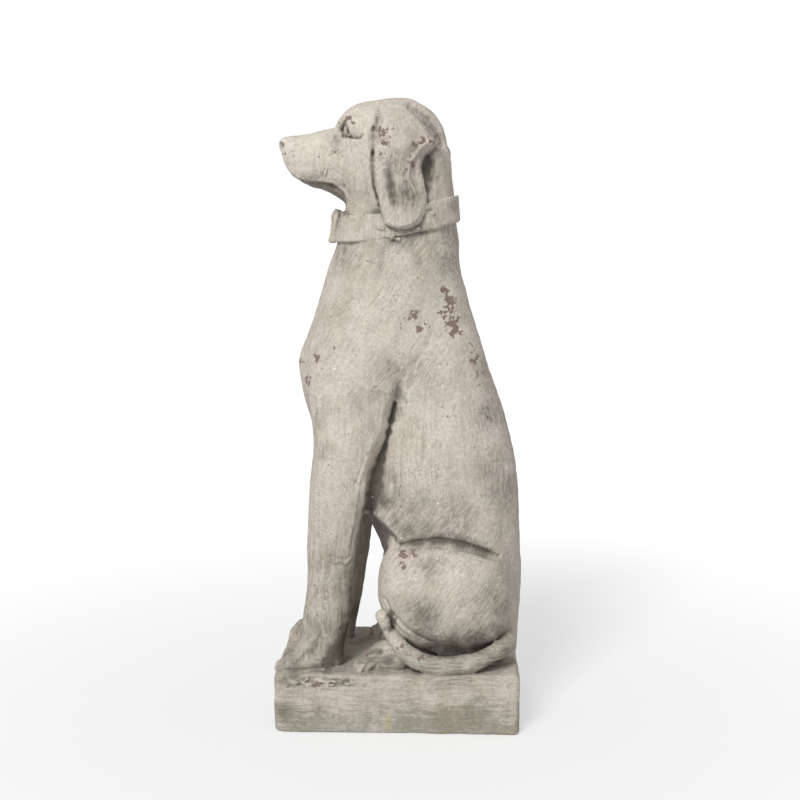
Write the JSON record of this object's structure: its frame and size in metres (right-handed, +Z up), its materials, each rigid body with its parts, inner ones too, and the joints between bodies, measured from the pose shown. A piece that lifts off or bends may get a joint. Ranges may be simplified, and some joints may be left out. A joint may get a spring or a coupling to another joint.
{
  "type": "outdoor dog statue",
  "caption": "Seated hound with a buckled collar and long ears, cast in one piece with an oblong plinth, its tail lying round its left side.",
  "frame": {"origin": "centre of the plinth's underside", "axes": "+Z up, the hound looks along -Y, +X is its left side, where the tail lies"},
  "size_m": [0.22, 0.321, 0.7996],
  "materials": {
    "cast_stone": "dry, brushed grey-beige cement wash over a red-brown ground, with dark grime in the hollows, pinholes and small chips"
  },
  "bodies": {
    "root": {"dog_statue": "cast_stone"}
  },
  "joints": []
}
